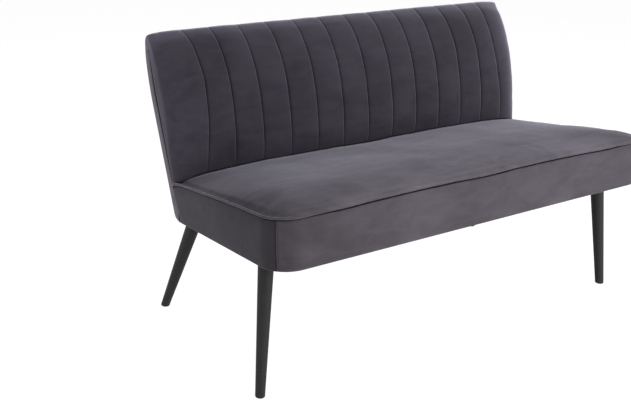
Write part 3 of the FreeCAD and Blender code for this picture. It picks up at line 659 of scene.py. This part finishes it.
def borderGrid(places, gaps, seed, seamWidth, ridge):  # each place gives point and direction by height
    turn = np.radians(np.linspace(0, 90, border["rollSteps"]))
    heights = np.concatenate([[0.0, 0.0], 1 - np.cos(turn)])
    rolls = np.concatenate([[border["turnUnder"] / border["roll"], 1.0], 1 - np.sin(turn)])
    upper = 1 - (1 - np.linspace(0, 1, border["rows"] - len(heights) + 1)[1:]) ** border["rowPower"]
    bottom = border["under"] + border["roll"]
    rows = []
    for r in range(border["rows"]):
        share = 0.0 if r < len(heights) else upper[r - len(heights)]
        line = []
        for place in places:
            x, y, outX, outY = place(share)
            if r < len(heights):  # turned under, then round the lower edge
                out, z = -border["roll"] * rolls[r], border["under"] + border["roll"] * heights[r]
            else:
                tuck = border["tuck"] + (border["frontTuck"] - border["tuck"]) * float(alongFront(x, y))
                top = pipingHeight(y) - tuck - rearDropAt(y) - float(seamDropAt(x, y))
                z = bottom + (top - bottom) * share
                out = border["bulge"] * math.sin(math.pi * share) ** border["bulgePower"]
                out -= border["groove"] * share ** border["groovePower"]
            line.append((x + outX * out, y + outY * out, z, outX, outY))
        rows.append(line)
    rows = np.array(rows)
    grid = rows[..., :3].copy()
    grid[..., :2] += rows[..., 3:] * borderRelief(grid, np.array(gaps), seed, seamWidth, ridge)[..., None]
    return grid


def cornerPlace(side, turn):  # on the rounded front corner; 0 faces the front and 90 the side
    turnSin, turnCos = sinCos(turn)
    outX, outY = side * turnSin, -turnCos
    x, y = side * straight + outX * cornerRadius, cornerRadius + outY * cornerRadius
    return lambda share: (x, y, outX, outY)


def frontPlace(x):
    return lambda share: (x, 0.0, 0.0, -1.0)


def sidePlace(side, along, rearEdge):
    def at(share):
        z = share * borderHeight
        closing = border["footClosing"] * max(0.0, 1 - z / border["footReach"]) ** 2
        depth = max(border["footDepth"], rearEdge - closing)
        y = cornerRadius + along * (backFront(z, depth) - cornerRadius)
        return side * halfWidth, y, float(side), 0.0
    return at


def borderPanel(side, grid, outward, finish):
    piece = shellPiece(side + "_border_panel", grid, border["thickness"], finish, outward)
    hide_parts(side + "_border")


def makeBorders():
    radius, seamTurn = cornerRadius, border["seamTurn"]
    seamSteps = np.degrees(np.array(border["seamSteps"]) / radius)
    frontSteps, sideSteps = border["cornerSteps"]
    turns = list(seamTurn - seamSteps) + list(np.linspace(seamTurn - border["seamClear"], 0, frontSteps))
    middle = np.linspace(-straight, straight, int(2 * straight / border["step"]))[1:-1]
    places = [cornerPlace(-1, t) for t in turns] + [frontPlace(x) for x in middle]
    places += [cornerPlace(1, t) for t in turns[::-1]]
    seamGap = [radius * math.radians(seamTurn - t) for t in turns]
    gaps = seamGap + [1.0] * len(middle) + seamGap[::-1]
    grid = toFrame(borderGrid(places, gaps, border["frontSeed"], border["seamWidth"], border["ridge"]))
    outward = grid - grid.mean((0, 1)) - (0, 0.3, 0)  # away from a point well behind the panel
    borderPanel("front", grid, outward, velvet["front"])
    turns = list(seamTurn + seamSteps) + list(np.linspace(seamTurn + border["seamClear"], 90, sideSteps))
    alongs = np.concatenate([np.linspace(0, 1, border["sideSteps"])[1:-1], border["rearSteps"]])
    length = backFront(border["sideMiddle"], border["rearSeam"]) - radius
    gaps = [radius * math.radians(t - seamTurn) for t in turns] + [(1 - a) * length for a in alongs] + [0.0]
    for side, name in ((-1, "left"), (1, "right")):
        places = [cornerPlace(side, t) for t in turns]
        places += [sidePlace(side, a, border["rearSeam"]) for a in alongs]
        places.append(sidePlace(side, 1.0, border["rearFloor"]))
        grid = toFrame(borderGrid(places, gaps, border["sideSeed"] + side, border["sideSeamWidth"], 0.0))
        borderPanel(name, grid, (side, 0, 0), velvet["side"])


makeBorders()
print("border panels made")

# Piping between the seat top and the borders, and the fold of cloth in the seam below it, in nearly black
# velvet as painted shade under the piping
cordTrim = {"step": 0.004, "cornerSteps": 28, "rearGap": 0.0012, "around": 14,
            "waveOut": (26.0, 5.5, 0.0005), "waveUp": (19.0, 8.5, 0.0005),
            "bead": {"radius": 0.0031, "overhang": 0.0018, "frontOverhang": -0.0052, "drop": 0.0},
            "fold": {"radius": 0.0016, "overhang": -0.0004, "frontOverhang": -0.0060, "drop": 0.0044}}


def cordPath(inset):  # plan points and outward directions from one rear end round the front to the other
    x = halfWidth - inset
    radius = cornerRadius - inset
    rearEnd = backFront(pipingHeight(bench["seatDepth"]), bench["backThickness"]) - cordTrim["rearGap"]
    half = [(-x, y, -1.0, 0.0) for y in np.arange(rearEnd, cornerRadius, -cordTrim["step"])]
    for turn in np.radians(np.linspace(90, 0, cordTrim["cornerSteps"])):
        outX, outY = -math.sin(turn), -math.cos(turn)
        half.append((-(x - radius) + outX * radius, cornerRadius + outY * radius, outX, outY))
    fronts = np.linspace(-straight, straight, int(2 * straight / cordTrim["step"]))[1:-1]
    middle = [(place, inset, 0.0, -1.0) for place in fronts]
    mirrored = [(-a, b, -c, d) for a, b, c, d in half[::-1]]
    return np.array(half + middle + mirrored)


def makeCord(name, cord, finish):
    path = cordPath(cord["radius"] - cord["overhang"])
    flat = np.zeros((len(path), 1))
    centre, out = np.hstack([path[:, :2], flat]), np.hstack([path[:, 2:], flat])
    tucked = (cord["frontOverhang"] - cord["overhang"]) * alongFront(path[:, 0], path[:, 1])
    middle = centre + out * (rippleOf(centre, [cordTrim["waveOut"]]) + tucked)[:, None]
    middle[:, 2] += rippleOf(centre, [cordTrim["waveUp"]]) - cord["drop"]
    rings = ringsOf(middle, out * cord["radius"], (0, 0, cord["radius"]), cordTrim["around"])
    grid = fromPipingPlane(rings)
    grid[..., 2] -= rearDropAt(grid[..., 1]) + seamDropAt(path[:, 0], path[:, 1])[:, None]
    return tubePiece(name, grid, finish)


piping = makeCord("seat_piping_trim", cordTrim["bead"], velvet["piping"])
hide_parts("seat_piping")
# nearly black fold as painted shade in the seam under the piping
makeCord("seat_seam_fold_painted_shade", cordTrim["fold"], velvet["tuck"])
print("piping made")

# Rear cover: stretched over the back of the frame, round its foot and onto the sides
rear = {"rows": 96, "underSteps": 4, "bendSteps": 14, "thickness": 0.002, "step": 0.016, "top": 0.4695,
        "foot": 0.024, "footStart": 0.78, "corner": 0.005, "sideSeam": 0.0262, "seamFoot": 0.03,
        "puff": 0.0022, "puffFoot": 0.1, "puffTop": 0.05, "edge": 0.007,
        "edgeTurns": (75, 60, 45, 30, 15), "dip": 0.0012, "dipStart": 0.86, "turnIn": 0.009,
        "stripSteps": (1.0, 0.96, 0.9, 0.78, 0.62, 0.46, 0.3),
        "slack": ((7.0, 12.5, 0.0010), (24.0, 2.5, 0.0003)), "slackRows": 0.08, "slackEnds": 0.03}


def rearOutline():  # side view, under the foot and up the rear face, with its normals and the side seam
    foot = rear["foot"]
    depths = np.linspace(rear["sideSeam"], foot * rear["footStart"], rear["underSteps"])
    under = [(backFront(0.0, d), 0.0) for d in depths]
    start = foot * (1 - leanSin) / leanCos
    turns = np.radians(np.linspace(-90, -bench["backLean"], rear["bendSteps"]))
    bend = planePoint(start, foot) + foot * np.stack([np.cos(turns), np.sin(turns)], -1)
    up = backPoint(np.linspace(start, rear["top"], bench["curveSteps"])[1:], 0.0)
    outline = evenly(np.concatenate([under, bend, up]), rear["rows"])
    normals = -lineNormals(outline)
    upward = np.linspace(0, 1, rear["rows"])
    puff = rear["puff"] * ramp(upward, 0, rear["puffFoot"])
    puff = puff * ramp(1 - upward, 0, rear["puffTop"])
    above = np.linspace(rear["seamFoot"], rear["top"], bench["curveSteps"])
    seam = np.vstack([(backFront(rear["corner"], rear["sideSeam"]), rear["corner"]),
                      backPoint(above, rear["sideSeam"])])
    return outline + normals * puff[:, None], normals, evenly(seam, rear["rows"])


def rearStrip(side, outline, normals, seam):  # side strip from its seam to the edge of the rear face
    half, edge = halfWidth, rear["edge"]
    lines = []
    for v in rear["stripSteps"]:
        lines.append(sideLine(side * (half - dipAt(rear, v)), outline * (1 - v) + seam * v))
    for turn in np.radians(rear["edgeTurns"]):
        x = side * (half - edge * (1 - math.sin(turn)))
        lines.append(sideLine(x, outline - normals * edge * (1 - math.cos(turn))))
    return [lines[0] - (side * rear["turnIn"], 0, 0)] + lines


def makeRearCover():
    outline, normals, seam = rearOutline()
    half = halfWidth
    flat = np.linspace(-half + rear["edge"], half - rear["edge"], int(2 * half / rear["step"]))
    lines = rearStrip(-1, outline, normals, seam) + [sideLine(x, outline) for x in flat]
    grid = np.stack(lines + rearStrip(1, outline, normals, seam)[::-1], 1)
    calm = ramp(half - np.abs(grid[..., 0]), 0, rear["slackEnds"])
    ruffle(grid, normals, rear["slack"], rear["slackRows"], calm)
    piece = shellPiece("rear_cover_panel", toFrame(grid), rear["thickness"], velvet["rear"], (0, 1, 0))
    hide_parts("rear_cover")


makeRearCover()
print("rear cover made")

# Tuck of cloth in the seam between the rear cover and the pad and side border, in nearly black velvet as
# painted shade of the groove
seamShadeCord = {"depth": 0.0294, "inset": 0.0029, "radius": 0.0019, "halfWidth": 0.0036, "around": 14,
            "bottom": -0.0065, "top": 0.4702, "points": 110, "endDraw": 0.0012, "endReach": 0.012}


def makeSeamShadeCord(side):
    along = np.linspace(seamShadeCord["bottom"], seamShadeCord["top"], seamShadeCord["points"])
    places = backPoint(along, seamShadeCord["depth"])
    forward = lineNormals(places)
    toEnd = np.minimum(along - seamShadeCord["bottom"], seamShadeCord["top"] - along)
    nearEnd = np.clip(1 - toEnd / seamShadeCord["endReach"], 0, 1) ** 2
    x = side * (halfWidth - seamShadeCord["inset"] - seamShadeCord["endDraw"] * nearEnd)
    tall = sideLine(0, forward * seamShadeCord["halfWidth"])
    rings = ringsOf(sideLine(x, places), (seamShadeCord["radius"], 0, 0), tall, seamShadeCord["around"])
    # nearly black velvet: painted shade in the seam
    tubePiece(("left" if side < 0 else "right") + "_rear_seam_painted_shade_cord", rings, velvet["tuck"])


makeSeamShadeCord(-1)
makeSeamShadeCord(1)
print("rear seam tucks made")


def dustClothFinish():
    finish, shader, place = newFinish("black_dust_cloth")
    fibres = noiseOf(stretched(place, (260, 700, 400)), 1.0, 4.0, 0.6, 1.2)
    colour = rampOf(fibres, ((0.35, (0.010, 0.010, 0.011)), (0.7, (0.028, 0.028, 0.030))))
    dimples = newNode("TexVoronoi", place, {"Vector": place, "Scale": 420.0, "Randomness": 0.15})
    feed(shader, {"Base Color": colour, "Roughness": 0.95, "Specular IOR Level": 0.2})
    pressed = bumpOf(shader, dimples.outputs["Distance"], 0.5, 0.0004)
    bumpOf(shader, fibres, 0.25, 0.0003, pressed)
    return finish


dustCloth = dustClothFinish()

# Dust cover: black cloth under the seat, hemmed and stapled, sagging a little between the staples
dust = {"inset": 0.012, "rearEdge": 0.0255, "thickness": 0.0009, "step": 0.011, "cornerSteps": 12,
        "clearance": 0.0001, "sag": 0.0022, "sagReach": 0.12, "sagPower": 0.7,
        "hem": 0.011, "hemDepth": 0.0005, "hemWidth": 0.0016,
        "creases": ((14.0, 6.6, 0.0012),), "creaseReach": 0.05}


def makeDustCover():
    half = halfWidth - dust["inset"]
    radius = cornerRadius - dust["inset"]
    depth = backFront(0.0, dust["rearEdge"]) - dust["inset"]
    turn = np.radians(np.linspace(0, 90, dust["cornerSteps"]))
    rowPlaces = np.concatenate([radius * (1 - np.cos(turn)),
                                np.arange(radius + dust["step"], depth, dust["step"]), [depth]])
    wide = roundedWidth(rowPlaces, half, radius)[:, None]
    across = np.linspace(-1, 1, int(2 * half / dust["step"]))
    x = across[None, :] * wide
    y = np.repeat(rowPlaces[:, None], len(across), 1)
    gap = np.maximum(0, np.minimum(np.minimum(y, depth - y), wide - np.abs(x)))
    grid = np.stack([x, y + dust["inset"], 0 * x - dust["clearance"]], -1)
    creases = np.abs(rippleOf(grid * (1, 1, 0), dust["creases"]))
    grid[..., 2] -= dust["sag"] * ramp(gap, dust["hem"], dust["sagReach"]) ** dust["sagPower"]
    grid[..., 2] -= creases * ramp(gap, 0, dust["creaseReach"])
    grid[..., 2] -= dust["hemDepth"] * bell(gap, dust["hem"], dust["hemWidth"])
    piece = shellPiece("dust_cover_sheet", toFrame(grid), dust["thickness"], dustCloth, (0, 0, -1))
    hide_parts("dust_cover")


makeDustCover()
print("dust cover made")

# Finishes of the legs, the frame and the small hardware, which keep their CAD shapes
legLook = {"dark": (0.0135, 0.0130, 0.0131), "light": (0.0209, 0.0202, 0.0203), "roughness": 0.66}


def lacquerFinish():
    finish, shader, place = newFinish("charcoal_lacquer")
    grain = noiseOf(stretched(place, (260, 260, 9)), 1.0, 4.0, 0.6, 0.6)
    mottle = noiseOf(place, 38.0, 3.0, 0.55)
    mixed = mathOf("ADD", mathOf("MULTIPLY", grain, 0.5), mathOf("MULTIPLY", mottle, 0.5))
    feed(shader, {"Base Color": rampOf(mixed, ((0.3, legLook["dark"]), (0.72, legLook["light"]))),
                  "Roughness": between(mottle, legLook["roughness"] - 0.08, legLook["roughness"] + 0.1),
                  "Specular IOR Level": 0.16})
    bumpOf(shader, grain, 0.12, 0.0004)
    return finish


def woodFinish(name, along, dark, light):  # pale sawn wood with its grain along one axis
    finish, shader, place = newFinish(name)
    scale = [3.0 if axis == along else 70.0 for axis in "xyz"]
    lines = noiseOf(stretched(place, scale), 1.0, 5.0, 0.62, 1.4)
    pores = noiseOf(stretched(place, [s * 9 for s in scale]), 1.0, 2.0, 0.5)
    colour = rampOf(lines, ((0.30, dark), (0.52, light), (0.75, tuple(0.86 * v for v in light))))
    feed(shader, {"Base Color": mixOf(0.25, colour, between(pores, 0.55, 1.1)),
                  "Roughness": between(pores, 0.62, 0.85)})
    bumpOf(shader, lines, 0.2, 0.0006)
    return finish


def boardFinish():
    finish, shader, place = newFinish("brown_hardboard")
    fibres = noiseOf(place, 240.0, 5.0, 0.7, 1.5)
    patches = noiseOf(place, 18.0, 3.0, 0.5)
    colour = rampOf(fibres, ((0.3, (0.075, 0.040, 0.020)), (0.7, (0.165, 0.095, 0.050))))
    feed(shader, {"Base Color": mixOf(0.3, colour, between(patches, 0.6, 1.2)),
                  "Roughness": between(fibres, 0.5, 0.75)})
    bumpOf(shader, fibres, 0.3, 0.0003)
    return finish


def webbingFinish():
    finish, shader, place = newFinish("elastic_webbing")
    waves = []
    for direction in "XYZ":
        wave = newNode("TexWave", place, {"Vector": place, "Scale": 170.0, "Distortion": 0.6})
        wave.bands_direction = direction
        waves.append(wave.outputs["Fac"])
    weave = mathOf("MULTIPLY", mathOf("MAXIMUM", waves[0], waves[1]),
                   mathOf("MAXIMUM", waves[1], waves[2]))
    fade = noiseOf(place, 30.0, 3.0, 0.5)
    colour = rampOf(weave, ((0.15, (0.050, 0.045, 0.040)), (0.85, (0.170, 0.155, 0.135))))
    feed(shader, {"Base Color": mixOf(0.3, colour, between(fade, 0.7, 1.2)), "Roughness": 0.88})
    bumpOf(shader, weave, 0.5, 0.0006)
    return finish


def steelFinish():
    finish, shader, place = newFinish("zinc_plated_steel")
    scratches = noiseOf(stretched(place, (900, 900, 120)), 1.0, 3.0, 0.6)
    spangle = noiseOf(place, 160.0, 3.0, 0.6)
    feed(shader, {"Base Color": rampOf(spangle, ((0.3, (0.42, 0.43, 0.45)), (0.7, (0.60, 0.61, 0.63)))),
                  "Metallic": 1.0, "Roughness": between(scratches, 0.26, 0.48)})
    bumpOf(shader, scratches, 0.1, 0.0002)
    return finish


legLacquer = lacquerFinish()
frameWood = {axis: woodFinish("sawn_birch_" + axis, axis, (0.36, 0.23, 0.115), (0.58, 0.41, 0.23))
             for axis in "xyz"}
dowelWood = woodFinish("beech_dowel", "x", (0.30, 0.17, 0.085), (0.50, 0.31, 0.165))
hardboard = boardFinish()
webbing = webbingFinish()
plainSteel = steelFinish()
nodeFinishes = {"rear_panel": hardboard, "seat_webbing": webbing, "back_webbing": webbing,
                "seat_dowels": dowelWood, "back_dowels": dowelWood}
for end in ("front", "rear"):
    nodeFinishes.update({end + "_left_leg": legLacquer, end + "_right_leg": legLacquer})
for name in ("back_lag_screws", "back_washers", "leg_studs", "leg_tee_nuts", "dust_cover_staples",
             "seat_webbing_staples", "back_webbing_staples"):
    nodeFinishes[name] = plainSteel


def finishNodes():
    for name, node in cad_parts.items():
        if node.hide_render:  # a modelled piece stands for it
            continue
        spans = [high - low for low, high in zip(*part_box(name))]
        along = "xyz"[spans.index(max(spans))]  # the grain runs along the longest side
        node.data.materials.clear()
        node.data.materials.append(nodeFinishes.get(name) or frameWood[along])


finishNodes()
print("frame and hardware finished")

# Camera of the photograph, in pixels of its 631 by 400 frame and in metres
photo = {"width": 631, "height": 400, "focal": 842.0, "centreX": 230.5, "centreY": 214.7, "sensor": 36.0}
cameraPlace = {"at": (-1.5772, -1.7545, 1.1894), "azimuth": -29.97, "elevation": 21.79}


def addCamera():
    sideways, ahead = sinCos(cameraPlace["azimuth"])
    down, level = sinCos(cameraPlace["elevation"])
    forward = Vector((-sideways * level, ahead * level, -down))
    data = bpy.data.cameras.new("camera")
    data.sensor_fit = "HORIZONTAL"
    data.sensor_width = photo["sensor"]
    data.lens = photo["sensor"] * photo["focal"] / photo["width"]
    data.shift_x = (photo["width"] / 2 - photo["centreX"]) / photo["width"]
    data.shift_y = (photo["centreY"] - photo["height"] / 2) / photo["width"]
    camera = bpy.data.objects.new("camera", data)
    camera.location = cameraPlace["at"]
    camera.rotation_euler = forward.to_track_quat("-Z", "Y").to_euler()
    bpy.context.collection.objects.link(camera)
    bpy.context.scene.camera = camera


# Studio: white floor that keeps a soft shadow, white surround, large soft lamps
studio = {"floorSize": 40, "floorGlow": 0.88, "floorColour": 0.22, "bounceColour": 0.8, "fill": 0.42,
          "aim": (0, 0, 0.45),
          "lamps": (("key", (1.2, -3.6, 1.4), 2.2, 195.0), ("top", (1.8, -0.2, 3.0), 2.2, 46.0),
                    ("left", (-3.2, 0.9, 1.5), 1.8, 59.0))}


def directRays(near):  # 1 for what the camera sees itself, in a mirror or through glass
    path = newNode("LightPath", near, {})
    indirect = mathOf("MAXIMUM", path.outputs["Is Glossy Ray"], path.outputs["Is Transmission Ray"])
    return mathOf("MAXIMUM", path.outputs["Is Camera Ray"], indirect)


def addFloor():
    bpy.ops.mesh.primitive_plane_add(size=studio["floorSize"])
    floor = bpy.context.object
    floor.name = "floor"
    finish = bpy.data.materials.new("white_floor")
    finish.use_nodes = True
    nodes = finish.node_tree.nodes
    nodes.remove(nodes["Principled BSDF"])
    surface = nodes["Material Output"]
    glow = newNode("Emission", surface, {"Strength": studio["floorGlow"]})
    shade, bounce = [newNode("BsdfDiffuse", surface, {"Color": (grey, grey, grey, 1)})
                     for grey in (studio["floorColour"], studio["bounceColour"])]
    seen = newNode("AddShader", surface, {0: glow.outputs[0], 1: shade.outputs[0]})
    mix = newNode("MixShader", surface, {0: directRays(surface), 1: bounce.outputs[0], 2: seen.outputs[0]})
    feed(surface, {"Surface": mix.outputs[0]})
    floor.data.materials.append(finish)


def addWorld():
    world = bpy.data.worlds.new("studio_world")
    bpy.context.scene.world = world
    world.use_nodes = True
    background = world.node_tree.nodes["Background"]
    strength = between(directRays(background), studio["fill"], 1.0)
    feed(background, {"Color": (1, 1, 1, 1), "Strength": strength})


def addLamps():
    for name, at, size, power in studio["lamps"]:
        data = bpy.data.lights.new(name, "AREA")
        data.energy = power
        data.size = size
        lamp = bpy.data.objects.new(name, data)
        lamp.location = at
        lamp.rotation_euler = (Vector(studio["aim"]) - Vector(at)).to_track_quat("-Z", "Y").to_euler()
        bpy.context.collection.objects.link(lamp)


addCamera()
addFloor()
addWorld()
addLamps()
bpy.context.scene.view_settings.view_transform = "Standard"
print("studio set")
